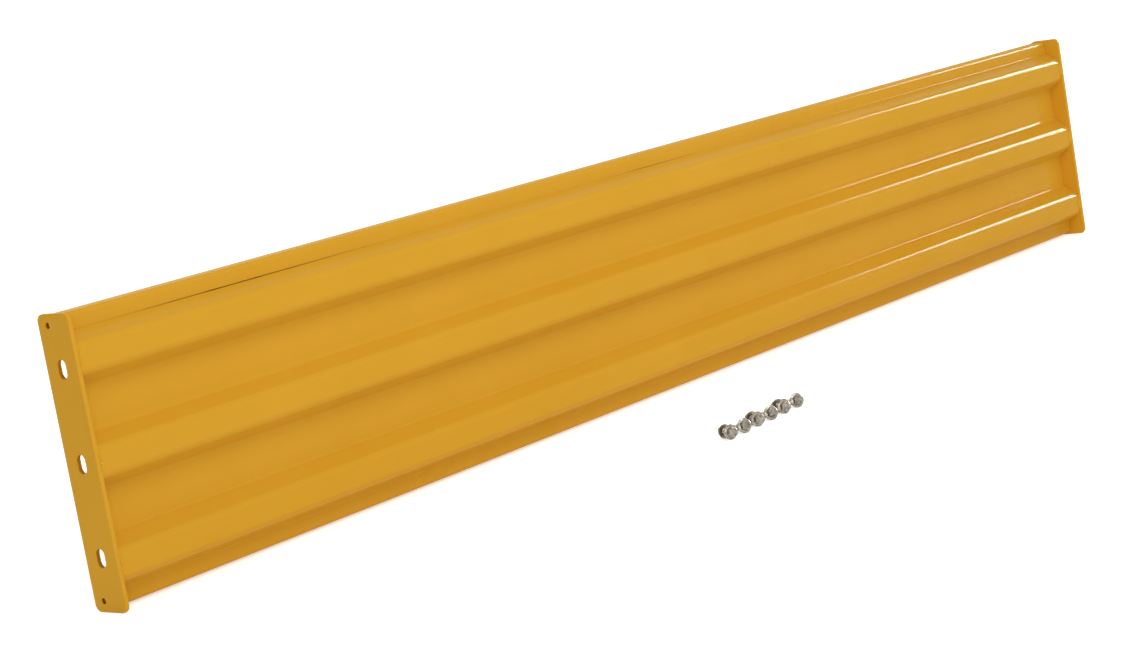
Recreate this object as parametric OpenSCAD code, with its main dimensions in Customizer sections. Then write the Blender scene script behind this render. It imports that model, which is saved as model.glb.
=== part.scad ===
// Industrial guardrail, one bolt-on section: a roll-formed steel panel with three
// ribs, welded between two slotted end plates, and its loose flange bolts and nuts.
// Frame: X runs along the rail, -Y is the front (rib side), +Z is up.
// The datum (origin) is on the outer face of the left end plate, at mid-depth,
// halfway between the middle and the lower bolt slot.

/* [Overall] */
// Length over the outer faces of the two end plates
overall_length = 2438; // [600:1:3660]

/* [Rolled section] */
// Gauge of the sheet
sheet_thickness = 3; // [1.5:0.1:5]
// Distance between the centre lines of neighbouring ribs
rib_pitch = 131; // [110:1:160]
// Width of the flat crest of a rib, measured to the sharp corners
crest_width = 37; // [28:0.5:50]
// Depth from the crest faces back to the valley faces
rib_depth = 27; // [20:0.5:45]
// Height that a sloping web takes up between crest and valley
web_rise = 18.5; // [10:0.5:30]
// The same for the top and the bottom web, which end at a lip
outer_web_rise = 15; // [8:0.5:30]
// Upright lip above the top rib and below the bottom rib
lip_height = 22.8; // [16:0.1:40]
// Return flange at the top and bottom, from the lip's front face
flange_width = 26.6; // [16:0.1:40]
// Inside radius of the bends
inner_bend_radius = 5; // [3:0.5:6]
// Inside radius of the tight crease where an outer web meets its lip
crease_radius = 1; // [0.5:0.1:5]

/* [End plates] */
// Thickness of an end plate
plate_thickness = 6.35; // [5:0.05:12]
// Edge of the plate that stands proud of the section all round, for the weld
weld_margin = 3.2; // [2:0.1:8]
// Radius of the plate's four corners
plate_corner_radius = 10; // [4:0.5:20]
// Width of a bolt slot
slot_width = 16; // [11:0.5:22]
// Length of a bolt slot, end to end
slot_length = 25; // [22:0.5:40]
// Distance between the centres of neighbouring slots
slot_pitch = 120.5; // [90:0.5:150]
// Diameter of the hanging hole near the top and bottom corner
hanging_hole_diameter = 8; // [6:0.5:12]
// Hanging hole's centre, measured from the plate's top or bottom edge
hanging_hole_edge = 14.5; // [10:0.5:30]
// Clear plate between the back of the panel's lip and the hanging hole
hanging_hole_land = 4.3; // [1:0.1:8]

/* [Welds] */
// Leg of a weld bead along the panel
weld_leg = 4; // [3:0.1:8]
// Length of a stitch weld on a rib crest
crest_stitch = 22; // [10:0.5:40]
// Length of a stitch weld behind a valley
valley_stitch = 40; // [10:0.5:60]

/* [Loose fasteners] */
// Diameter of the bolt's shank
shank_diameter = 9.5; // [8:0.1:16]
// Length of the shank under the flange
shank_length = 25.4; // [20:0.1:60]
// Hexagon of bolt and nut, across flats
hex_across_flats = 14.3; // [12:0.1:24]
// Diameter of the bolt's flange
bolt_flange_diameter = 21.6; // [16:0.1:36]
// Diameter of the nut's flange
nut_flange_diameter = 20.4; // [16:0.1:36]
// Height of the bolt's head, flange included
head_height = 9.2; // [7:0.1:16]
// Height of the nut, flange included
nut_height = 9; // [7:0.1:16]
// Thickness of a flange at its rim
flange_rim = 1.6; // [1:0.1:3]
// Gap between the nut's bore and the shank, on the radius
thread_gap = 0.15; // [0.05:0.01:0.4]
// Bare shank left beyond a nut
nut_standoff = 2.6; // [0:0.1:10]
// Distance between neighbouring bolts in the row
row_pitch = 37; // [26:0.5:80]
// Start of the row, measured along the rail from the datum
row_start = 846; // [0:1:3000]
// Distance of the row in front of the plates' front edges
row_distance = 312; // [60:1:600]
// Step of the row toward the rail, from bolt to bolt
row_drift = 3.2; // [0:0.1:10]
// Direction in which the heads point, turned from +X
row_yaw = -112; // [-180:1:180]

/* [Hidden] */
eps = 1;
bend_steps = 8;
section_height = 2 * (rib_pitch + lip_height + outer_web_rise) + crest_width;
plate_height = section_height + 2 * weld_margin;
plate_depth = 2 * weld_margin + rib_depth + flange_width;

front_edge_y = -plate_depth / 2;
crest_y = front_edge_y + weld_margin;
valley_y = crest_y + rib_depth;
flange_end_y = valley_y + flange_width;
mid_z = slot_pitch / 2;
floor_z = mid_z - plate_height / 2;
panel_length = overall_length - 2 * plate_thickness;

hanging_hole_y = valley_y + sheet_thickness + hanging_hole_land + hanging_hole_diameter / 2;
hanging_hole_rise = plate_height / 2 - hanging_hole_edge;
bend_angle = atan2(rib_depth, web_rise);
bend_reach = (inner_bend_radius + sheet_thickness) * tan(bend_angle / 2);
crest_flat = crest_width - 2 * bend_reach;
valley_flat = rib_pitch - crest_width - 2 * web_rise - 2 * bend_reach;
crest_weld = min(crest_stitch, crest_flat);
valley_weld = min(valley_stitch, valley_flat);

paint = [0.93, 0.62, 0.10];
zinc = [0.68, 0.66, 0.62];

// ---- Rolled section -------------------------------------------------------

// One rib as [depth, height] corners from the top down, with its two webs' rises
function rib_corners(z, rise_above, rise_below) = [
  [valley_y, z + crest_width / 2 + rise_above],
  [crest_y, z + crest_width / 2],
  [crest_y, z - crest_width / 2],
  [valley_y, z - crest_width / 2 - rise_below]
];

// Front face of the whole section, sharp corners, from top flange to bottom flange
function front_corners() = concat(
  [[flange_end_y, mid_z + section_height / 2], [valley_y, mid_z + section_height / 2]],
  rib_corners(mid_z + rib_pitch, outer_web_rise, web_rise),
  rib_corners(mid_z, web_rise, web_rise),
  rib_corners(mid_z - rib_pitch, web_rise, outer_web_rise),
  [[valley_y, mid_z - section_height / 2], [flange_end_y, mid_z - section_height / 2]]
);

function unit(v) = v / norm(v);
function left_of(v) = [-v[1], v[0]];
function turn(a, b) = a[0] * b[1] - a[1] * b[0];

// Both faces of a strip bent along the corners: side 0 is the front, 1 the back
function bend_points(pts, i, side) =
  let (
    u = unit(pts[i] - pts[i - 1]),
    w = unit(pts[i + 1] - pts[i]),
    s = sign(turn(u, w)),
    half = acos(u * w) / 2,
    inner = i == 2 || i == len(pts) - 3 ? crease_radius : inner_bend_radius,
    front_radius = s > 0 ? inner + sheet_thickness : inner,
    back_radius = s > 0 ? inner : inner + sheet_thickness,
    radius = side == 0 ? front_radius : back_radius,
    centre = pts[i] + s * front_radius * (left_of(u) + left_of(w)) / (1 + u * w)
  )
  [for (k = [0 : bend_steps])
    let (a = s * 2 * half * k / bend_steps, n = -s * left_of(u))
    centre + radius * [n[0] * cos(a) - n[1] * sin(a), n[0] * sin(a) + n[1] * cos(a)]];

function strip_face(pts, side) =
  let (
    last = len(pts) - 1,
    back = side * sheet_thickness,
    first_n = left_of(unit(pts[1] - pts[0])),
    last_n = left_of(unit(pts[last] - pts[last - 1]))
  )
  concat(
    [pts[0] + back * first_n],
    [for (i = [1 : last - 1]) for (p = bend_points(pts, i, side)) p],
    [pts[last] + back * last_n]
  );

function reversed(v) = [for (i = [len(v) - 1 : -1 : 0]) v[i]];

module rail_panel() {
  pts = front_corners();
  color(paint)
    translate([plate_thickness, 0, 0])
    along_x(panel_length)
    polygon(concat(strip_face(pts, 0), reversed(strip_face(pts, 1))));
}

// Extrudes a [depth, height] outline along +X
module along_x(length) {
  multmatrix([[0, 0, 1, 0], [1, 0, 0, 0], [0, 1, 0, 0], [0, 0, 0, 1]])
    linear_extrude(length)
    children();
}

// ---- End plates -----------------------------------------------------------

module rounded_slab(depth, height, thickness, radius) {
  translate([0, -depth / 2 + radius, -height / 2])
    cube([thickness, depth - 2 * radius, height]);
  translate([0, -depth / 2, -height / 2 + radius])
    cube([thickness, depth, height - 2 * radius]);
  for (y = [-1, 1], z = [-1, 1])
    translate([0, y * (depth / 2 - radius), z * (height / 2 - radius)])
      rotate([0, 90, 0])
      cylinder(r = radius, h = thickness);
}

module slot_cut() {
  reach = (slot_length - slot_width) / 2;
  translate([-eps, -slot_width / 2, -reach])
    cube([plate_thickness + 2 * eps, slot_width, 2 * reach]);
  for (z = [-reach, reach])
    translate([-eps, 0, z])
      rotate([0, 90, 0])
      cylinder(d = slot_width, h = plate_thickness + 2 * eps);
}

module end_plate() {
  translate([0, 0, mid_z])
    difference() {
      rounded_slab(plate_depth, plate_height, plate_thickness, plate_corner_radius);
      for (i = [-1 : 1])
        translate([0, 0, i * slot_pitch]) slot_cut();
      for (s = [-1, 1])
        translate([-eps, hanging_hole_y, s * hanging_hole_rise])
          rotate([0, 90, 0])
          cylinder(d = hanging_hole_diameter, h = plate_thickness + 2 * eps);
    }
}

module left_end_plate() {
  color(paint) end_plate();
}

module right_end_plate() {
  color(paint)
    translate([overall_length - plate_thickness, 0, 0])
    end_plate();
}

// ---- Weld beads -----------------------------------------------------------

// A convex fillet in the corner of two faces: legs along +X and -Y, run along Z
module fillet_bead(leg_x, leg_y, length) {
  bulge = 1.12;
  linear_extrude(length, center = true)
    polygon(concat([[0, 0]], [for (k = [0 : 4])
      let (a = 90 * k / 4, f = k == 0 || k == 4 ? 1 : bulge * norm([cos(a), sin(a)]) /
        (cos(a) + sin(a)))
      [leg_x * cos(a) * f, -leg_y * sin(a) * f]]));
}

module crest_weld_bead(z) {
  translate([plate_thickness, crest_y, mid_z + z])
    fillet_bead(weld_leg, weld_margin, crest_weld);
}

module valley_weld_bead(z) {
  translate([plate_thickness, valley_y + sheet_thickness, mid_z + z])
    mirror([0, 1, 0])
    fillet_bead(weld_leg, weld_leg, valley_weld);
}

module at_right_end() {
  translate([overall_length, 0, 0])
    mirror([1, 0, 0])
    children();
}

module left_weld_top_rib() color(paint) crest_weld_bead(rib_pitch);
module left_weld_middle_rib() color(paint) crest_weld_bead(0);
module left_weld_bottom_rib() color(paint) crest_weld_bead(-rib_pitch);
module right_weld_top_rib() color(paint) at_right_end() crest_weld_bead(rib_pitch);
module right_weld_middle_rib() color(paint) at_right_end() crest_weld_bead(0);
module right_weld_bottom_rib() color(paint) at_right_end() crest_weld_bead(-rib_pitch);
module left_weld_upper_valley() color(paint) valley_weld_bead(rib_pitch / 2);
module left_weld_lower_valley() color(paint) valley_weld_bead(-rib_pitch / 2);
module right_weld_upper_valley() color(paint) at_right_end() valley_weld_bead(rib_pitch / 2);
module right_weld_lower_valley() color(paint) at_right_end() valley_weld_bead(-rib_pitch / 2);

// ---- Loose flange bolts and nuts ------------------------------------------

// Hexagon with a chamfered end on a flange that slopes to its rim, axis +Z
module flanged_hex(height, flange_diameter) {
  corner_radius = hex_across_flats / 2 / cos(30);
  flange_height = height * 0.32;
  intersection() {
    cylinder(r = corner_radius, h = height, $fn = 6);
    rotate_extrude()
      polygon([
        [0, 0], [corner_radius, 0], [corner_radius, height - corner_radius * 0.16],
        [hex_across_flats / 2 * 0.96, height], [0, height]
      ]);
  }
  rotate_extrude()
    polygon([
      [0, 0], [flange_diameter / 2, 0], [flange_diameter / 2, flange_rim],
      [hex_across_flats / 2, flange_height], [0, flange_height]
    ]);
}

// Shank tip at the origin, head toward +Z
module flange_bolt() {
  tip = shank_diameter * 0.1;
  rotate_extrude()
    polygon([
      [0, 0], [shank_diameter / 2 - tip, 0], [shank_diameter / 2, tip],
      [shank_diameter / 2, shank_length + flange_rim / 2], [0, shank_length + flange_rim / 2]
    ]);
  translate([0, 0, shank_length])
    flanged_hex(head_height, bolt_flange_diameter);
}

// The nut faces its flange to the bolt's head, its hexagon to the tip
module flange_nut() {
  translate([0, 0, nut_standoff + nut_height])
    mirror([0, 0, 1])
    difference() {
      flanged_hex(nut_height, nut_flange_diameter);
      translate([0, 0, -eps])
        cylinder(d = shank_diameter + 2 * thread_gap, h = nut_height + 2 * eps);
    }
}

// A bare bolt lies on its flange and its tip, a bolt with a nut on both flanges
function has_nut(i) = i % 2 == 1;
function near_radius(i) = has_nut(i) ? nut_flange_diameter / 2 : shank_diameter / 2;
function near_reach(i) =
  has_nut(i) ? nut_standoff + nut_height - flange_rim : shank_diameter * 0.1;
function lie_tilt(i) =
  atan2(bolt_flange_diameter / 2 - near_radius(i), shank_length - near_reach(i));
function axis_lift(i) =
  near_radius(i) * cos(lie_tilt(i)) + (shank_length - near_reach(i)) * sin(lie_tilt(i));

module in_row(i) {
  translate([
    row_start + (i - 1) * row_pitch,
    front_edge_y - row_distance + (i - 1) * row_drift,
    floor_z + axis_lift(i)
  ])
    rotate([0, -lie_tilt(i), row_yaw])
    translate([-shank_length, 0, 0])
    rotate([0, 90, 0])
    children();
}

module loose_bolt(i) color(zinc) in_row(i) flange_bolt();
module loose_nut(i) color(zinc) in_row(i) flange_nut();

module flange_bolt_1() loose_bolt(1);
module flange_bolt_2() loose_bolt(2);
module flange_bolt_3() loose_bolt(3);
module flange_bolt_4() loose_bolt(4);
module flange_bolt_5() loose_bolt(5);
module flange_bolt_6() loose_bolt(6);
module flange_nut_1() loose_nut(1);
module flange_nut_3() loose_nut(3);
module flange_nut_5() loose_nut(5);

rail_panel();
left_end_plate();
right_end_plate();
left_weld_top_rib();
left_weld_middle_rib();
left_weld_bottom_rib();
right_weld_top_rib();
right_weld_middle_rib();
right_weld_bottom_rib();
left_weld_upper_valley();
left_weld_lower_valley();
right_weld_upper_valley();
right_weld_lower_valley();
flange_bolt_1();
flange_bolt_2();
flange_bolt_3();
flange_bolt_4();
flange_bolt_5();
flange_bolt_6();
flange_nut_1();
flange_nut_3();
flange_nut_5();
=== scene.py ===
# %% [markdown]
# # An industrial guardrail section
#
# The real object is a length of roll-formed steel sheet with three ribs, welded between
# two slotted bolting plates and coated in thick safety-yellow gloss paint. Six flange
# bolts lie in a row in front of it, and three of them carry a flange nut.
#
# The frame already holds every piece at its true size. This lesson gives the pieces their
# looks: smooth bends instead of facets, soft painted edges, weld beads with ripples,
# threads on the bolts, and two finishes, gloss paint and cloudy zinc. We work in metres,
# with X along the rail, -Y to the front and Z up.

# %% Load the frame
import math

import bmesh
import bpy
from mathutils import Matrix, Vector


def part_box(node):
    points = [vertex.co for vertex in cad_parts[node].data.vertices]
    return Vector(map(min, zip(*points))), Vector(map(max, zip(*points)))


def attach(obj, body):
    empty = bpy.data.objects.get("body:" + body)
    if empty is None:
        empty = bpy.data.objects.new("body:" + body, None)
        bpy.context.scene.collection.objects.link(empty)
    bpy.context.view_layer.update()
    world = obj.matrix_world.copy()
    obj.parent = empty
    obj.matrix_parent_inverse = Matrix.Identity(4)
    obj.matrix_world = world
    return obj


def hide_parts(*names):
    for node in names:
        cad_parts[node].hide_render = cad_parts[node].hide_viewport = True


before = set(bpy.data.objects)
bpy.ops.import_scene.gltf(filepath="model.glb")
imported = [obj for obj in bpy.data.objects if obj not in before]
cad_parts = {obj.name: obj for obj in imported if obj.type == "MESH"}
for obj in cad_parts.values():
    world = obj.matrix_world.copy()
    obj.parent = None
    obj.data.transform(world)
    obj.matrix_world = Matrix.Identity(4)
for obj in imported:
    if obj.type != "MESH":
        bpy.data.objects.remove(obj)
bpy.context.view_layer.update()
scene = bpy.context.scene
MM = 0.001
print("nodes in the frame:", len(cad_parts))

# %% [markdown]
# ## Measure before modelling
#
# The boxes of the plates and the panel tell where the rail begins and ends, and how high
# and deep it is. What a box can't tell is named as a size, in millimetres: here the shape
# of the fold, and later the holes and the threads, each where it is first needed.

# %% Sizes of the rail
panel_low, panel_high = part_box("rail_panel")
plate_low, plate_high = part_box("left_end_plate")
rail_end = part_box("right_end_plate")[1].x
floor_z = plate_low.z
mid_z = (plate_low.z + plate_high.z) / 2

gauge = 3 * MM
rib_pitch = 131 * MM
rib_depth = 27 * MM
crest_width = 37 * MM
web_rise = 18.5 * MM
outer_web_rise = 15 * MM
bend_radius = 9 * MM
tight_bend_radius = 3 * MM
crease_radius = 1.8 * MM
crest_y = panel_low.y
valley_y = crest_y + rib_depth
rib_centres = [mid_z + rib_pitch, mid_z, mid_z - rib_pitch]
print("rail length", round(rail_end, 4), "panel height", round(panel_high.z - panel_low.z, 4))

# %% [markdown]
# ## The camera
#
# A rail this long reads best from beside its near end and a little above, with a long
# lens, so that the far end doesn't shrink too much. The camera is also rolled, which
# makes the rail climb across the view. Three turns say this more clearly than a matrix of
# nine numbers would: roll about the line of sight, then tilt, then heading.

# %% Camera
LENS = 80.97
STANDPOINT = (-1.8825, -2.5091, 0.5764)
HEADING, TILT, ROLL = (math.radians(a) for a in (-48.155, -8.301, -9.899))
camera_data = bpy.data.cameras.new("camera")
camera_data.lens = LENS
camera_data.clip_end = 100
camera = bpy.data.objects.new("camera", camera_data)
scene.collection.objects.link(camera)
turned = (
    Matrix.Rotation(HEADING, 4, "Z")
    @ Matrix.Rotation(math.pi / 2 + TILT, 4, "X")
    @ Matrix.Rotation(ROLL, 4, "Z")
)
camera.matrix_world = Matrix.Translation(STANDPOINT) @ turned
scene.camera = camera
print("camera at", [round(v, 2) for v in camera.location])

# %% [markdown]
# ## Stage and light
#
# A white studio: the floor runs out of sight, and light comes softly from all round, so
# a colour renders about as it is written. A world background does this with no visible
# lamps. It is plain white where it is seen or mirrored, and a little weaker where it
# lights, which a Light Path node tells apart.

# %% World
scene.view_settings.view_transform = "Standard"


def new_nodes(tree):
    """Empties a node tree and returns a function that adds a node with some settings."""
    tree.nodes.clear()

    def add(kind, inputs=None, **settings):
        node = tree.nodes.new(kind)
        for name, value in settings.items():
            setattr(node, name, value)
        for name, value in (inputs or {}).items():
            node.inputs[name].default_value = value
        return node

    return add


def is_background_seen(tree, add):
    """1 for rays that show the background: straight, mirrored or through glass."""
    path = add("ShaderNodeLightPath")
    seen = path.outputs["Is Camera Ray"]
    for kind in ("Is Glossy Ray", "Is Transmission Ray"):
        either = add("ShaderNodeMath", operation="MAXIMUM")
        tree.links.new(seen, either.inputs[0])
        tree.links.new(path.outputs[kind], either.inputs[1])
        seen = either.outputs[0]
    return seen


WORLD_LIGHT = 0.557
world = bpy.data.worlds.new("studio")
scene.world = world
world.use_nodes = True
tree = world.node_tree
add = new_nodes(tree)
lighting = add("ShaderNodeBackground", {"Color": (1, 1, 1, 1), "Strength": WORLD_LIGHT})
backdrop = add("ShaderNodeBackground", {"Color": (1, 1, 1, 1), "Strength": 1.0})
choose = add("ShaderNodeMixShader")
out = add("ShaderNodeOutputWorld")
tree.links.new(is_background_seen(tree, add), choose.inputs[0])
tree.links.new(lighting.outputs[0], choose.inputs[1])
tree.links.new(backdrop.outputs[0], choose.inputs[2])
tree.links.new(choose.outputs[0], out.inputs["Surface"])
print("world light", WORLD_LIGHT)

# %% [markdown]
# The floor is one large square of pale matte white. It catches the
# rail's soft shadow. A faint glow, added only where the floor is seen or mirrored, lifts
# the lit part to plain white. A weaker one lights the rail from below, as a wide bright
# studio floor does, so that its lowest lip isn't left in its own shadow.

# %% Floor


def mesh_piece(name, bm, material=None):
    """Turns a bmesh into an object at the origin, with its place in its mesh."""
    mesh = bpy.data.meshes.new(name)
    bm.to_mesh(mesh)
    bm.free()
    piece = bpy.data.objects.new(name, mesh)
    scene.collection.objects.link(piece)
    if material:
        mesh.materials.append(material)
    return piece


FLOOR_REACH = 40
FLOOR_GLOW = 0.55
FLOOR_FILL = 0.1
floor_white = bpy.data.materials.new("studio_white")
floor_white.use_nodes = True
tree = floor_white.node_tree
add = new_nodes(tree)
matte = add("ShaderNodeBsdfDiffuse", {"Color": (0.94, 0.94, 0.94, 1)})
fill = add("ShaderNodeEmission", {"Strength": FLOOR_FILL})
glow = add("ShaderNodeEmission", {"Strength": FLOOR_GLOW})
choose = add("ShaderNodeMixShader")
both = add("ShaderNodeAddShader")
out = add("ShaderNodeOutputMaterial")
tree.links.new(is_background_seen(tree, add), choose.inputs[0])
tree.links.new(fill.outputs[0], choose.inputs[1])
tree.links.new(glow.outputs[0], choose.inputs[2])
tree.links.new(matte.outputs[0], both.inputs[0])
tree.links.new(choose.outputs[0], both.inputs[1])
tree.links.new(both.outputs[0], out.inputs["Surface"])

bm = bmesh.new()
bmesh.ops.create_grid(bm, x_segments=1, y_segments=1, size=FLOOR_REACH)
bmesh.ops.translate(bm, verts=bm.verts, vec=(rail_end / 2, 0, floor_z))
floor = mesh_piece("studio_floor", bm, floor_white)
print("floor at height", round(floor_z, 4))

# %% [markdown]
# Gloss paint shows its form only through what it mirrors, so the lamps are placed by
# what each one does:
#
# - The key sun comes low from the left front. It lights the faces that look forward and
#   leaves the undersides of the ribs a shade darker.
# - The back sun keeps the rear side from going dull. The front never sees it.
# - The box overhead brightens the near end, where the upper webs turn to the sky.
# - The tall box far off to the right is there for its mirror image alone: it lights no
#   matte surface. Its image runs along every bend that turns upward, but only where the
#   angle is right, which is toward the far end.
# - The small spot reaches into the far corner, onto the inner face of the end plate,
#   which a soft light from all round leaves too dark.
#
# A sun has an angle and an area lamp has a size, and both soften shadows as they grow.

# %% Lamps


def away(target, azimuth, elevation, distance):
    """A place seen from the target at this azimuth from -Y toward +X, and this height."""
    a, e = math.radians(azimuth), math.radians(elevation)
    way = Vector((math.sin(a) * math.cos(e), -math.cos(a) * math.cos(e), math.sin(e)))
    return Vector(target) + distance * way


def lamp(name, kind, power, target, azimuth, elevation, distance):
    """Adds a lamp that shines at the target, and returns its settings."""
    data = bpy.data.lights.new(name, kind)
    data.energy = power
    place = away(target, azimuth, elevation, distance)
    sight = (Vector(target) - place).to_track_quat("-Z", "Y")
    holder = bpy.data.objects.new(name, data)
    holder.matrix_world = Matrix.Translation(place) @ sight.to_matrix().to_4x4()
    scene.collection.objects.link(holder)
    print(name, kind.lower(), power)
    return data


def sun(name, power, target, azimuth, elevation, degrees):
    """A sun that fills this many degrees of the sky. Its distance makes no difference."""
    data = lamp(name, "SUN", power, target, azimuth, elevation, distance=5)
    data.angle = math.radians(degrees)


def soft_box(name, power, target, azimuth, elevation, distance, size):
    """Adds a flat lamp with this width and height, and returns the object that carries it."""
    data = lamp(name, "AREA", power, target, azimuth, elevation, distance)
    data.shape = "RECTANGLE"
    data.size, data.size_y = size
    return bpy.data.objects[name]


middle = (rail_end / 2, 0, mid_z)
near_part = (0.3 * rail_end, 0, mid_z)
far_end = (rail_end, 0, mid_z)
far_foot = (rail_end, 0, mid_z - 90 * MM)
sun("key", 0.36, middle, azimuth=-38, elevation=13, degrees=20)
sun("back", 0.9, middle, azimuth=150, elevation=25, degrees=40)
soft_box("over_box", 28, near_part, azimuth=0, elevation=50, distance=3.0, size=(2.0, 1.4))
far_box = soft_box(
    "far_box", 330, far_end, azimuth=65.5, elevation=18, distance=4.7, size=(0.92, 2.1)
)
far_box.visible_diffuse = False
corner_spot = lamp("corner_spot", "SPOT", 80, far_foot, azimuth=-72, elevation=6, distance=4.6)
corner_spot.spot_size = math.radians(9)
corner_spot.spot_blend = 0.8
corner_spot.shadow_soft_size = 0.3

# %% [markdown]
# ## The panel
#
# The panel is one sheet folded fourteen times. Modelling the solid directly would mean
# drawing every bend twice, outside and inside, and keeping the two concentric. It is
# easier to fold a surface: we draw the sharp corners of the front face, pull them along
# the rail, round each fold with Bevel, and give the sheet its thickness last. The corners
# come first. The rib at the top and the one at the bottom have a steeper outer web.

# %% Corners of the fold


def rib_corners(z, rise_above, rise_below):
    """The four corners of one rib as (depth, height), from its top down."""
    half = crest_width / 2
    return [
        (valley_y, z + half + rise_above),
        (crest_y, z + half),
        (crest_y, z - half),
        (valley_y, z - half - rise_below),
    ]


rises = [outer_web_rise, web_rise, web_rise, outer_web_rise]
corners = [(panel_high.y, panel_high.z), (valley_y, panel_high.z)]
for centre, above, below in zip(rib_centres, rises, rises[1:]):
    corners += rib_corners(centre, above, below)
corners += [(valley_y, panel_low.z), (panel_high.y, panel_low.z)]
print("corners of the fold:", len(corners))

# %% [markdown]
# How round is each fold? Rollers set the inner radius, and the outer one is larger by the
# gauge of the sheet. A fold that turns toward the back shows us its outer side, so its
# front face gets the larger radius. The flanges' folds and the crease between a lip and
# its web are tighter than the rest, and so is the fold above the lowest rib.

# %% Radius of each fold


def turn_at(i):
    """How far the fold turns at corner i, in radians; positive turns toward the back."""
    before = Vector(corners[i]) - Vector(corners[i - 1])
    after = Vector(corners[i + 1]) - Vector(corners[i])
    return math.copysign(before.angle(after), before.cross(after))


folds = range(1, len(corners) - 1)
UPPER_CREASE, LOWER_CREASE = folds[1], folds[-2]
ABOVE_LOWEST_RIB = 10
inner_radius = {i: bend_radius for i in folds}
inner_radius.update({i: tight_bend_radius for i in (folds[0], ABOVE_LOWEST_RIB, folds[-1])})
inner_radius.update({i: crease_radius for i in (UPPER_CREASE, LOWER_CREASE)})


def front_setback(i):
    """Distance from the sharp corner i to where the arc of the front face starts."""
    turn = turn_at(i)
    radius = inner_radius[i] + (gauge if turn > 0 else 0)
    return radius * math.tan(abs(turn) / 2)


print("folds turn", [round(math.degrees(turn_at(i))) for i in folds])

# %% [markdown]
# The profile is a chain of edges at one end of the rail. Extrude pulls it to the other
# end, and Bevel then rounds one fold at a time. Cuts across the length come last. They
# change no shape, but give later effects points to hold on to.

# %% Fold the surface
BEND_SEGMENTS = 12
CUTS = 48
panel_length = panel_high.x - panel_low.x


def fold_edges(bm, i):
    """The edges that run along the rail at corner i."""
    corner = Vector(corners[i])
    return [e for e in bm.edges if all((v.co.yz - corner).length < 1e-6 for v in e.verts)]


bm = bmesh.new()
line = [bm.verts.new((panel_low.x, y, z)) for y, z in corners]
edges = [bm.edges.new(pair) for pair in zip(line, line[1:])]
drawn = bmesh.ops.extrude_edge_only(bm, edges=edges)
far_side = [v for v in drawn["geom"] if isinstance(v, bmesh.types.BMVert)]
bmesh.ops.translate(bm, verts=far_side, vec=(panel_length, 0, 0))
for i in folds:
    bmesh.ops.bevel(
        bm,
        geom=fold_edges(bm, i),
        offset=front_setback(i),
        offset_type="OFFSET",
        affect="EDGES",
        segments=BEND_SEGMENTS,
        profile=0.5,
        material=-1,
        clamp_overlap=True,
    )
for k in range(1, CUTS):
    x = panel_low.x + panel_length * k / CUTS
    everything = bm.verts[:] + bm.edges[:] + bm.faces[:]
    bmesh.ops.bisect_plane(bm, geom=everything, plane_co=(x, 0, 0), plane_no=(1, 0, 0))
print("faces of the folded surface:", len(bm.faces))

# %% [markdown]
# Every piece ends in the same way. A small Bevel softens its cut edges where the bmesh
# hasn't rounded them, and Weighted Normal keeps the broad flats truly flat in the light
# while the bends stay smooth. The modifiers are applied at once, so that later steps and
# the exported mesh see the finished shape.

# %% Finish a mesh
SHARP_ANGLE = math.radians(40)


def bake_modifiers(piece):
    """Replaces a piece's mesh by what its modifiers make of it."""
    bpy.context.view_layer.update()
    solved = piece.evaluated_get(bpy.context.evaluated_depsgraph_get())
    mesh = bpy.data.meshes.new_from_object(solved)
    piece.modifiers.clear()
    old = piece.data
    piece.data = mesh
    mesh.name = piece.name
    bpy.data.meshes.remove(old)


def soften(piece, width):
    """Rounds the sharp edges by this width, if it isn't zero, and shades the piece smooth."""
    if width:
        edge = piece.modifiers.new("edge", "BEVEL")
        edge.width = width
        edge.segments = 2
        edge.limit_method = "ANGLE"
        edge.angle_limit = SHARP_ANGLE
    shade = piece.modifiers.new("shade", "WEIGHTED_NORMAL")
    shade.keep_sharp = True
    for face in piece.data.polygons:
        face.use_smooth = True
    bake_modifiers(piece)


print("an edge is sharp above", round(math.degrees(SHARP_ANGLE)), "degrees")

# %% [markdown]
# Solidify gives the sheet its gauge behind the drawn face. It works along the normals, so
# the faces of the crests first have to look to the front.

# %% Give the sheet its gauge
EDGE_SOFTNESS = 0.4 * MM
crest_face = max(bm.faces, key=lambda f: -f.calc_center_median().y)
if crest_face.normal.y > 0:
    bmesh.ops.reverse_faces(bm, faces=bm.faces)
panel = mesh_piece("panel_sheet", bm)
thick = panel.modifiers.new("gauge", "SOLIDIFY")
thick.thickness = gauge
thick.offset = -1
thick.use_even_offset = True
bake_modifiers(panel)
soften(panel, EDGE_SOFTNESS)
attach(panel, "root")
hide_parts("rail_panel")
print("panel faces:", len(panel.data.polygons))

# %% [markdown]
# Along the upper crease the coat's colour is darkened: painted shade that stands for the
# shadow the crease collects, strongest in two stretches along the rail. A float attribute on
# the points, "grime", tells the paint where that is. It is written after the sheet
# has its gauge, so that the back of the crease gets none of it.

# %% Painted shade in the upper crease
# where the painted shade is strongest: place and reach as shares of the rail, and how dark it is
SHADE_SPOTS = ((0.13, 0.08, 1.0), (0.49, 0.04, 0.6))
SHADE_ELSEWHERE = 0.12


def crease_shade(x):
    """How dark the painted shade in the crease is at this distance along the rail."""
    share = x / rail_end
    spots = [darkness * math.exp(-(((share - at) / reach) ** 2)) for at, reach, darkness in SHADE_SPOTS]
    return max(spots + [SHADE_ELSEWHERE])


crease = Vector(corners[UPPER_CREASE])
in_crease = 0.95 * front_setback(UPPER_CREASE)
# painted shade on the points of the crease, and none elsewhere
grime = panel.data.attributes.new("grime", "FLOAT", "POINT")
for v, shaded_point in zip(panel.data.vertices, grime.data):
    shaded_point.value = crease_shade(v.co.x) if (v.co.yz - crease).length < in_crease else 0.0
print("points with grime:", sum(shaded_point.value > 0 for shaded_point in grime.data))

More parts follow.
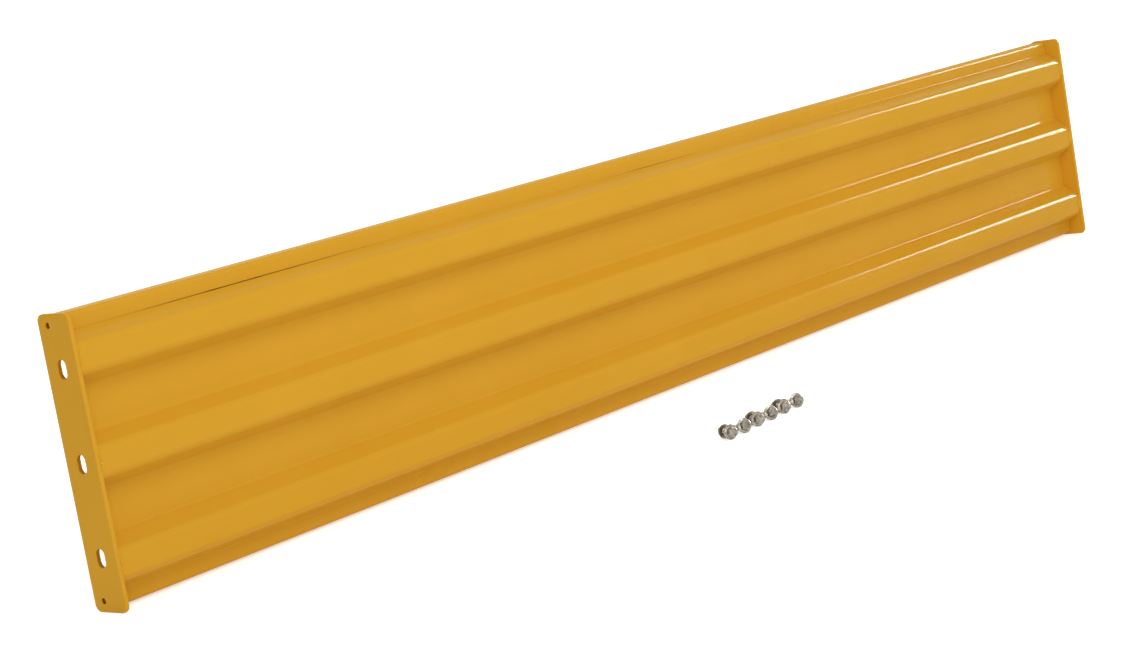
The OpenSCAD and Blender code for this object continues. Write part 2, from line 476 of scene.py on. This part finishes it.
# %% [markdown]
# ## The end plates
#
# Each plate is a stamping: an oblong with rounded corners, three upright slots and two
# small hanging holes. Cutting holes with Boolean works, but leaves ragged faces where the
# paint's soft edge should be. Here every outline, outer or inner, is the same thing: a
# circle whose four quarters are pushed apart. A ring of it at each depth, a little tighter
# near both faces, is bridged into a wall with rounded edges, and the flat faces are then
# filled between the rings.

# %% Outlines of a plate
EDGE_ROUND = 0.9 * MM
HOLE_ROUND = 0.6 * MM
EDGE_STEPS = 4
plate_depth = plate_high.y - plate_low.y
plate_height = plate_high.z - plate_low.z
slot_width, slot_length, slot_pitch = 16 * MM, 25 * MM, 120.5 * MM
corner_radius = 10 * MM
hanging_hole_radius, hanging_hole_y, hanging_hole_rise = 4 * MM, 11.5 * MM, 176 * MM


def ring(bm, x, radius, spread, centre):
    """A circle across X whose quarters are pushed apart by the spread, as a loop of edges."""
    made = bmesh.ops.create_circle(bm, segments=48, radius=radius)
    bmesh.ops.rotate(bm, verts=made["verts"], matrix=Matrix.Rotation(math.pi / 48, 3, "Z"))
    bmesh.ops.rotate(bm, verts=made["verts"], matrix=Matrix.Rotation(math.pi / 2, 3, "Y"))
    for v in made["verts"]:
        v.co.y += math.copysign(spread[0], v.co.y) + centre[0]
        v.co.z += math.copysign(spread[1], v.co.z) + centre[1]
        v.co.x = x
    return list({e for v in made["verts"] for e in v.link_edges})


def wall(bm, x_low, x_high, radius, spread, centre, round_by):
    """Rings bridged from face to face. round_by is positive outside, negative in a hole."""
    size = abs(round_by)
    steps = [math.pi / 2 * k / EDGE_STEPS for k in range(EDGE_STEPS + 1)]
    low = [(x_low + size * (1 - math.sin(a)), size * (1 - math.cos(a))) for a in reversed(steps)]
    high = [(x_high - (x - x_low), inward) for x, inward in reversed(low)]
    places = low + [((x_low + x_high) / 2, 0)] + high
    sign = math.copysign(1, round_by)
    loops = [ring(bm, x, radius - sign * inward, spread, centre) for x, inward in places]
    for one, two in zip(loops, loops[1:]):
        bmesh.ops.bridge_loops(bm, edges=one + two)
    return loops[0], loops[-1]


print("plate height", round(plate_height, 4), "depth", round(plate_depth, 4))

# %% [markdown]
# Inside the punched holes the colour is darkened by painted shade, the shadow of a deep
# hole, most of all in the two small ones that carry the hooks, and more the deeper we look.
# The same float attribute as on the crease says where. It costs nothing, and the finish
# reads it by name.

# %% Make the plates
# how dark the painted shade gets in the slots and in the hanging holes
SLOT_SHADE, HANGING_HOLE_SHADE = 0.6, 1.0


def end_plate(node):
    """One end plate: its outline, its holes, the flat faces between them, and the painted shade
    in the holes.
    """
    low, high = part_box(node)
    centre = ((low.y + high.y) / 2, (low.z + high.z) / 2)
    bm = bmesh.new()
    spread = (plate_depth / 2 - corner_radius, plate_height / 2 - corner_radius)
    rims = [wall(bm, low.x, high.x, corner_radius, spread, centre, EDGE_ROUND)]
    slot_spread = (0, (slot_length - slot_width) / 2)
    for k in (-1, 0, 1):
        place = (centre[0], centre[1] + k * slot_pitch)
        rims.append(wall(bm, low.x, high.x, slot_width / 2, slot_spread, place, -HOLE_ROUND))
    for k in (-1, 1):
        place = (hanging_hole_y, centre[1] + k * hanging_hole_rise)
        rims.append(wall(bm, low.x, high.x, hanging_hole_radius, (0, 0), place, -HOLE_ROUND))
    for side in (0, 1):
        rim_edges = [e for rim in rims for e in rim[side]]
        bmesh.ops.triangle_fill(bm, edges=rim_edges, use_beauty=True, use_dissolve=False)
    # painted shade in the holes: none at the faces, darkest halfway through the plate
    grime = bm.verts.layers.float.new("grime")
    for v in bm.verts:
        depth = 2 * min(v.co.x - low.x, high.x - v.co.x) / (high.x - low.x)
        from_hook = math.hypot(
            v.co.y - hanging_hole_y, abs(v.co.z - centre[1]) - hanging_hole_rise
        )
        in_slot = abs(v.co.y - centre[0]) < slot_width / 2 + HOLE_ROUND
        if from_hook < hanging_hole_radius + HOLE_ROUND:
            v[grime] = depth * HANGING_HOLE_SHADE
        elif in_slot:
            v[grime] = depth * SLOT_SHADE
    bmesh.ops.recalc_face_normals(bm, faces=bm.faces)
    piece = mesh_piece(node + "_stamped", bm)
    soften(piece, 0)
    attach(piece, "root")
    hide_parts(node)
    return piece


plates = [end_plate(node) for node in ("left_end_plate", "right_end_plate")]
print("plate faces:", [len(p.data.polygons) for p in plates])

# %% [markdown]
# ## Weld beads
#
# A bead of weld lies in the corner of two faces. Its section is a quarter round, slightly
# flattened, and along its length it swells and shrinks in crescents, one for each pool of
# metal. A flat grid carries both ideas well: one direction of the grid becomes the way
# round the section, the other the way along the bead. Points that would fall behind the
# two faces are pressed into the corner and merged there, which closes the bead.

# %% Make the beads
STEPS_ALONG, STEPS_ROUND = 72, 32
RIPPLE_LENGTH = 2.6 * MM
RIPPLE_HEIGHT = 0.16
CRESCENT = 0.5
FLATTENING = 1.4
END_CAP = 3.2 * MM


def bead(node):
    """One bead, from the corner that the box of its node gives."""
    low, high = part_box(node)
    at_left, on_crest = node.startswith("left"), node.endswith("rib")
    corner = Vector((low.x if at_left else high.x, high.y if on_crest else low.y, low.z))
    leg_x = (high.x - low.x) * (1 if at_left else -1)
    leg_y = (high.y - low.y) * (-1 if on_crest else 1)
    length = high.z - low.z
    bm = bmesh.new()
    bmesh.ops.create_grid(bm, x_segments=STEPS_ALONG, y_segments=STEPS_ROUND, size=0.5)
    for v in bm.verts:
        along = (v.co.x + 0.5) * length
        angle = (v.co.y + 0.5) * 2 * math.pi
        cos, sin = max(math.cos(angle), 0), max(math.sin(angle), 0)
        wave = abs(math.sin(math.pi * (along / RIPPLE_LENGTH - CRESCENT * cos * sin)))
        to_end = min(along, length - along, END_CAP) / END_CAP
        size = math.sqrt(1 - (1 - to_end) ** 2) * (1 - RIPPLE_HEIGHT * (1 - wave))
        across, out = leg_x * size * cos**FLATTENING, leg_y * size * sin**FLATTENING
        v.co = corner + Vector((across, out, along))
    bmesh.ops.remove_doubles(bm, verts=bm.verts, dist=0.005 * MM)
    bmesh.ops.recalc_face_normals(bm, faces=bm.faces)
    piece = mesh_piece(node + "_bead", bm)
    soften(piece, 0)
    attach(piece, "root")
    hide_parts(node)
    return piece


beads = [bead(node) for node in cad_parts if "_weld_" in node]
print("beads:", len(beads))

# %% [markdown]
# ## Bolts and nuts
#
# Heads and nuts are stacks of rings. A ring's radius is the flange or the hexagon,
# whichever is larger, and the hexagon is held inside the cone that chamfers its corners.
# The rings lie close together where the hexagon grows out of the flange and where the
# chamfer cuts it, because there the outline changes most.

# %% Rings of a head or a nut
RING_POINTS = 96
RIM_BREAK = 0.25 * MM
CORNER_BREAK, CORNER_ANGLE = 0.16 * MM, math.radians(34)
CHAMFER_SLOPE = 1.35
hex_flats, flange_rim = 14.3 * MM, 1.6 * MM
head_height, head_radius = 9.2 * MM, 10.8 * MM
nut_height, nut_radius, nut_standoff = 9 * MM, 10.2 * MM, 2.6 * MM
corner_reach = hex_flats / 2 / math.cos(math.pi / 6)
blunt_reach = 0.985 * corner_reach
chamfer = 0.16 * corner_reach


def hex_radius(angle):
    """Distance from the axis to a hexagon with a corner at angle 0, its corners blunted."""
    off = (angle + math.pi / 6) % (math.pi / 3) - math.pi / 6
    return min(hex_flats / 2 / math.cos(math.pi / 6 - abs(off)), blunt_reach)


def flanged_rings(height, flange_radius, inner):
    """The outline of a flanged hexagon, from its bearing face up, as (height, radius)."""
    flange_top = 0.32 * height
    slope = (flange_radius - hex_flats / 2) / (flange_top - flange_rim)

    def radius_at(z):
        cone = flange_radius - max(z - flange_rim, 0) * slope
        top = corner_reach - max(z - (height - chamfer), 0) * CHAMFER_SLOPE
        return lambda angle: max(cone, min(hex_radius(angle), top))

    steps = [0.25, 0.8, flange_rim / MM, 1.8, 2.0, 2.2, 2.4, 2.6, flange_top / MM, 3.2]
    levels = [z * MM for z in steps] + [height - chamfer * k for k in (1, 0.8, 0.6, 0.4, 0.2, 0)]
    rings = [(0, lambda angle: inner), (0, lambda angle: flange_radius - RIM_BREAK)]
    return rings + [(z, radius_at(z)) for z in levels]


def stack(bm, rings):
    """Skins a list of rings: a grid rolled up about Z, one row of points for each ring."""
    last = len(rings) - 1
    made = bmesh.ops.create_grid(bm, x_segments=RING_POINTS, y_segments=last, size=0.5)
    for v in made["verts"]:
        angle = (v.co.x + 0.5) * 2 * math.pi
        z, radius = rings[round((v.co.y + 0.5) * last)]
        v.co = Vector((radius(angle) * math.cos(angle), radius(angle) * math.sin(angle), z))
    bmesh.ops.remove_doubles(bm, verts=bm.verts, dist=0.001 * MM)
    bmesh.ops.holes_fill(bm, edges=[e for e in bm.edges if e.is_boundary], sides=0)
    bmesh.ops.recalc_face_normals(bm, faces=bm.faces)
    sharp = [e for e in bm.edges if e.is_manifold and e.calc_face_angle() > CORNER_ANGLE]
    bmesh.ops.bevel(
        bm,
        geom=sharp,
        offset=CORNER_BREAK,
        affect="EDGES",
        segments=2,
        profile=0.5,
        material=-1,
        clamp_overlap=True,
    )


print("hexagon over its corners", round(2 * corner_reach, 5))

# %% [markdown]
# A screw thread is a small tooth turned about an axis while it climbs. Spin does exactly
# that when it is given a step along the axis as well as an angle: after one full turn the
# lower edge of the tooth meets the upper edge of the turn before, and Remove Doubles sews
# them together. The ends are then cut square with Bisect, and the tip is narrowed by
# holding its points inside a cone, which makes the thread fade out as it does on a real
# bolt.

# %% Thread of a shank
THREAD_PITCH = 25.4 / 16 * MM
THREAD_DEPTH = 0.97 * MM
THREAD_STEPS = 36
TIP_CHAMFER = 1.15 * MM
shank_radius, shank_length = 4.75 * MM, 25.4 * MM
root_radius = shank_radius - THREAD_DEPTH
# the tooth as (radius, share of the pitch)
TOOTH = (
    (root_radius, 0),
    (root_radius, 0.14),
    (shank_radius, 0.44),
    (shank_radius, 0.56),
    (root_radius, 0.86),
    (root_radius, 1),
)


def thread(length):
    """A threaded shank on +Z with its tip at the origin, as a bmesh of its own."""
    bm = bmesh.new()
    spare = 2  # turns below the tip, which the cut at the tip takes off
    points = [bm.verts.new((r, 0, (share - spare) * THREAD_PITCH)) for r, share in TOOTH]
    edges = [bm.edges.new(pair) for pair in zip(points, points[1:])]
    turns = math.ceil(length / THREAD_PITCH) + spare + 1
    bmesh.ops.spin(
        bm,
        geom=points + edges,
        axis=(0, 0, 1),
        cent=(0, 0, 0),
        dvec=(0, 0, THREAD_PITCH / THREAD_STEPS),
        angle=2 * math.pi * turns,
        steps=THREAD_STEPS * turns,
        use_merge=False,
        use_duplicate=False,
    )
    bmesh.ops.remove_doubles(bm, verts=bm.verts, dist=0.002 * MM)
    for z, up in ((0, -1), (length, 1)):
        bmesh.ops.bisect_plane(
            bm,
            geom=bm.verts[:] + bm.edges[:] + bm.faces[:],
            plane_co=(0, 0, z),
            plane_no=(0, 0, up),
            clear_outer=True,
        )
    for v in bm.verts:
        allowed = shank_radius - TIP_CHAMFER + v.co.z
        if v.co.xy.length > allowed:
            v.co.xy *= allowed / v.co.xy.length
    bmesh.ops.holes_fill(bm, edges=[e for e in bm.edges if e.is_boundary], sides=0)
    bmesh.ops.recalc_face_normals(bm, faces=bm.faces)
    return bm


print("turns on a shank:", round(shank_length / THREAD_PITCH, 1))

# %% [markdown]
# A loose bolt lies tilted: a bare one rests on its flange and its tip, one with a nut on
# both flanges. The tilt follows from those two radii. Each fastener is built upright at
# the origin, laid down with one rotation, and then moved so that its box has the same
# centre as the box of the piece that it stands for.

# %% Lay a fastener down
ROW_YAW = math.radians(-112)
tip_rest = 0.2 * shank_radius  # how far behind its tip a bare bolt touches the floor


def lay(piece, node, tilt):
    """Turns a fastener onto its side, moves it to its place in the row and finishes it."""
    turn = (
        Matrix.Rotation(ROW_YAW, 4, "Z")
        @ Matrix.Rotation(-tilt, 4, "Y")
        @ Matrix.Rotation(math.pi / 2, 4, "Y")
    )
    piece.data.transform(turn)
    low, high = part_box(node)
    for axis in range(3):
        reach = [v.co[axis] for v in piece.data.vertices]
        shift = (low[axis] + high[axis] - min(reach) - max(reach)) / 2
        for v in piece.data.vertices:
            v.co[axis] += shift
    soften(piece, 0)
    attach(piece, "root")
    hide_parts(node)
    return piece


def lie_tilt(has_nut):
    """How far the axis tilts: the head's flange is larger than what lies at the other end."""
    near_radius = nut_radius if has_nut else shank_radius
    near_reach = nut_standoff + nut_height - flange_rim if has_nut else tip_rest
    return math.atan2(head_radius - near_radius, shank_length - near_reach)


print("tilt", [round(math.degrees(lie_tilt(has_nut)), 1) for has_nut in (False, True)])

# %% [markdown]
# A bolt is a threaded shank with a head stacked on its end, in one mesh. A nut's rings run
# up the outside and come back down the bore, where the last ring meets the first. The bore
# clears the thread by a hair. The nut is turned over last, because its flange faces the
# bolt's head.

# %% Make the fasteners
THREAD_GAP = 0.15 * MM
BORE_CHAMFER = 0.5 * MM


def bolt(node, tilt):
    """A threaded shank with a flanged head on it."""
    bm = thread(shank_length + flange_rim / 2)
    shank = bpy.data.meshes.new("shank")
    bm.to_mesh(shank)
    bm.free()
    bm = bmesh.new()
    stack(bm, flanged_rings(head_height, head_radius, shank_radius / 2))
    bmesh.ops.translate(bm, verts=bm.verts, vec=(0, 0, shank_length))
    bm.from_mesh(shank)
    bpy.data.meshes.remove(shank)
    return lay(mesh_piece(node + "_threaded", bm), node, tilt)


def nut(node, tilt):
    """A flanged nut: its rings run up the outside and come back down the bore."""
    bore, mouth = shank_radius + THREAD_GAP, shank_radius + THREAD_GAP + BORE_CHAMFER
    rings = flanged_rings(nut_height, nut_radius, mouth)
    rings.append((nut_height, lambda angle: mouth))
    rings.append((nut_height - BORE_CHAMFER, lambda angle: bore))
    rings.append((BORE_CHAMFER, lambda angle: bore))
    rings.append(rings[0])
    bm = bmesh.new()
    stack(bm, rings)
    bmesh.ops.rotate(bm, verts=bm.verts, matrix=Matrix.Rotation(math.pi, 3, "X"))
    return lay(mesh_piece(node + "_flanged", bm), node, tilt)


fasteners = []
for i in range(1, 7):
    bolt_node, nut_node = f"flange_bolt_{i}", f"flange_nut_{i}"
    tilt = lie_tilt(nut_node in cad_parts)
    fasteners.append(bolt(bolt_node, tilt))
    if nut_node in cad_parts:
        fasteners.append(nut(nut_node, tilt))
print("fasteners:", len(fasteners), "faces:", sum(len(p.data.polygons) for p in fasteners))

# %% [markdown]
# ## Two finishes that share their effects
#
# The rail is powder coated: an even, warm yellow with a wet gloss, the faint dimpling that
# painters call orange peel, and painted shade in the holes and the crease. The bolts are zinc
# plated: a warm grey metal, cloudy rather than polished. Both need clouds and both need a
# fine relief, so these two effects are node groups. Each is built once and is placed in
# both materials with its own values.
#
# Clouds are a noise. It stays near its middle almost everywhere, so the middle is taken
# off, the rest is multiplied by the contrast, and the middle is put back.

# %% Clouds


def effect_group(name, inputs, output):
    """An empty node group with these inputs and one value as its output."""
    tree = bpy.data.node_groups.new(name, "ShaderNodeTree")
    for socket, kind in inputs:
        tree.interface.new_socket(socket, in_out="INPUT", socket_type=kind)
    tree.interface.new_socket(output, in_out="OUTPUT", socket_type="NodeSocketFloat")
    return tree, new_nodes(tree)


FLOAT, VECTOR = "NodeSocketFloat", "NodeSocketVector"

clouds, add = effect_group(
    "clouds", [("Vector", VECTOR), ("Scale", FLOAT), ("Contrast", FLOAT)], "Mask"
)
given, out = add("NodeGroupInput"), add("NodeGroupOutput")
soft = add("ShaderNodeTexNoise", {"Detail": 4.0, "Roughness": 0.6})
level = add("ShaderNodeMath", {1: 0.5}, operation="SUBTRACT")
spread = add("ShaderNodeMath", operation="MULTIPLY")
centred = add("ShaderNodeMath", {1: 0.5}, operation="ADD", use_clamp=True)
clouds.links.new(given.outputs["Vector"], soft.inputs["Vector"])
clouds.links.new(given.outputs["Scale"], soft.inputs["Scale"])
clouds.links.new(soft.outputs["Fac"], level.inputs[0])
clouds.links.new(level.outputs[0], spread.inputs[0])
clouds.links.new(given.outputs["Contrast"], spread.inputs[1])
clouds.links.new(spread.outputs[0], centred.inputs[0])
clouds.links.new(centred.outputs[0], out.inputs["Mask"])
print("effect", clouds.name, "nodes:", len(clouds.nodes))

# %% [markdown]
# The relief is a height: small dimples that ride on a slow wave. How far the wave sways is
# a value of its own, so that a small piece can do without it.

# %% Fine relief
relief, add = effect_group(
    "fine_relief", [("Vector", VECTOR), ("Scale", FLOAT), ("Sway", FLOAT)], "Height"
)
given, out = add("NodeGroupInput"), add("NodeGroupOutput")
dimples = add("ShaderNodeTexNoise", {"Detail": 1.0, "Roughness": 0.4})
wave = add("ShaderNodeTexNoise", {"Scale": 9.0, "Detail": 0.0})
swayed = add("ShaderNodeMath", operation="MULTIPLY_ADD")
relief.links.new(given.outputs["Vector"], dimples.inputs["Vector"])
relief.links.new(given.outputs["Scale"], dimples.inputs["Scale"])
relief.links.new(given.outputs["Vector"], wave.inputs["Vector"])
relief.links.new(wave.outputs["Fac"], swayed.inputs[0])
relief.links.new(given.outputs["Sway"], swayed.inputs[1])
relief.links.new(dimples.outputs["Fac"], swayed.inputs[2])
relief.links.new(swayed.outputs[0], out.inputs["Height"])
print("effect", relief.name, "nodes:", len(relief.nodes))

# %% [markdown]
# A material then reads from left to right: the object's own coordinates, the effects, and
# one Principled shader. The helper below starts a material and places an effect in it.
# Object coordinates suit a coat that is sprayed over the whole welded part, because the
# clouds run on from one piece to the next.

# %% Helpers for a material


def begin_material(name):
    """A material with a Principled shader and the object's own coordinates."""
    material = bpy.data.materials.new(name)
    material.use_nodes = True
    tree = material.node_tree
    add = new_nodes(tree)
    place = add("ShaderNodeTexCoord").outputs["Object"]
    shader = add("ShaderNodeBsdfPrincipled")
    out = add("ShaderNodeOutputMaterial")
    tree.links.new(shader.outputs[0], out.inputs["Surface"])
    return material, tree, add, place, shader


def effect(tree, add, group, place, **values):
    """Places a shared effect and returns its output."""
    node = add("ShaderNodeGroup", node_tree=group)
    tree.links.new(place, node.inputs["Vector"])
    for name, value in values.items():
        node.inputs[name].default_value = value
    return node.outputs[0]


def mix_colors(tree, add, mask, first, second):
    """A colour between two others. Each is a colour or the output of another node."""
    mix = add("ShaderNodeMix", data_type="RGBA")
    tree.links.new(mask, mix.inputs["Factor"])
    for socket, color in ((mix.inputs[6], first), (mix.inputs[7], second)):
        if isinstance(color, tuple):
            socket.default_value = color
        else:
            tree.links.new(color, socket)
    return mix.outputs[2]


def ranged(tree, add, value, low, high):
    """Maps a mask from 0..1 to low..high."""
    span = add("ShaderNodeMapRange", {"To Min": low, "To Max": high})
    tree.links.new(value, span.inputs["Value"])
    return span.outputs[0]


def dimpled(tree, add, height, depth, shader):
    """Turns a height into a relief of this depth on the shader."""
    bump = add("ShaderNodeBump", {"Strength": 1.0, "Distance": depth})
    tree.links.new(height, bump.inputs["Height"])
    tree.links.new(bump.outputs[0], shader.inputs["Normal"])


print("helpers ready")

# %% [markdown]
# ## Safety-yellow gloss
#
# Two close tones of the same yellow, mixed by large clouds, keep the long flats alive
# without a pattern that the eye could find. The painted-shade attribute is broken up by
# smaller clouds before it darkens the coat with painted shade in the crease and the holes.
# The relief stays far below what light and shade would show. It only makes the long
# reflections tremble a little, as they do on a real coat.
# The upper flange lies flat and holds dust, so the gloss is broken there.
#
# The coat's mirror is weak on purpose. With a strong, narrow lamp it draws thin bright
# lines along the bends, and it leaves the flats their own colour.

# %% Paint
DEEP_YELLOW, LIGHT_YELLOW = (0.665, 0.340, 0.022, 1), (0.700, 0.362, 0.028, 1)
# the colour of the painted shade in the crease and the holes
PAINTED_SHADE_BROWN = (0.035, 0.017, 0.006, 1)
GLOSSY, DUSTY = 0.1, 0.6
# roughness added where the painted shade lies
PAINTED_SHADE_ROUGHNESS = 0.8
WEAK_MIRROR = 0.028
paint, tree, add, place, shader = begin_material("safety_paint")
shader.inputs["Specular IOR Level"].default_value = WEAK_MIRROR
tone = effect(tree, add, clouds, place, Scale=5.0, Contrast=1.6)
yellow = mix_colors(tree, add, tone, DEEP_YELLOW, LIGHT_YELLOW)
attribute = add("ShaderNodeAttribute", attribute_name="grime")
broken = effect(tree, add, clouds, place, Scale=14.0, Contrast=2.5)
# how much painted shade: the attribute, broken up by the smaller clouds
shade_share = add("ShaderNodeMath", operation="MULTIPLY")
tree.links.new(attribute.outputs["Fac"], shade_share.inputs[0])
tree.links.new(ranged(tree, add, broken, 0.55, 1.0), shade_share.inputs[1])
coat = mix_colors(tree, add, shade_share.outputs[0], yellow, PAINTED_SHADE_BROWN)
tree.links.new(coat, shader.inputs["Base Color"])
height_above = add("ShaderNodeSeparateXYZ")
tree.links.new(place, height_above.inputs[0])
on_flange = add("ShaderNodeMapRange", {"To Min": GLOSSY, "To Max": DUSTY})
on_flange.inputs["From Min"].default_value = panel_high.z - 0.5 * MM
on_flange.inputs["From Max"].default_value = panel_high.z - 0.1 * MM
tree.links.new(height_above.outputs["Z"], on_flange.inputs["Value"])
roughness = add("ShaderNodeMath", {1: PAINTED_SHADE_ROUGHNESS}, operation="MULTIPLY_ADD")
tree.links.new(shade_share.outputs[0], roughness.inputs[0])
tree.links.new(on_flange.outputs[0], roughness.inputs[2])
tree.links.new(roughness.outputs[0], shader.inputs["Roughness"])
peel = effect(tree, add, relief, place, Scale=320.0, Sway=2.0)
dimpled(tree, add, peel, 0.005 * MM, shader)
print(paint.name, "nodes:", len(tree.nodes))

# %% [markdown]
# ## Cloudy zinc
#
# Zinc plating is a metal, so most of what we see on it is its surroundings, tinted by its
# own colour. Fine clouds make it lighter and smoother in one place, duller and darker in
# the next, which is what lets a small bolt read as plated rather than chromed.

# %% Zinc
LIGHT_ZINC, DULL_ZINC = (0.47, 0.43, 0.36, 1), (0.10, 0.085, 0.065, 1)
zinc, tree, add, place, shader = begin_material("zinc_plate")
shader.inputs["Metallic"].default_value = 1.0
dull = effect(tree, add, clouds, place, Scale=240.0, Contrast=2.6)
metal = mix_colors(tree, add, dull, LIGHT_ZINC, DULL_ZINC)
tree.links.new(metal, shader.inputs["Base Color"])
tree.links.new(ranged(tree, add, dull, 0.24, 0.42), shader.inputs["Roughness"])
pits = effect(tree, add, relief, place, Scale=1400.0, Sway=0.0)
dimpled(tree, add, pits, 0.01 * MM, shader)
print(zinc.name, "nodes:", len(tree.nodes))

# %% [markdown]
# The finishes go on last, as they do in the works: the rail, its plates and its welds are
# painted as one, and the fasteners are plated.

# %% Dress the pieces
for pieces, material in (([panel] + plates + beads, paint), (fasteners, zinc)):
    for piece in pieces:
        piece.data.materials.append(material)
print("painted:", len(plates + beads) + 1, "plated:", len(fasteners))
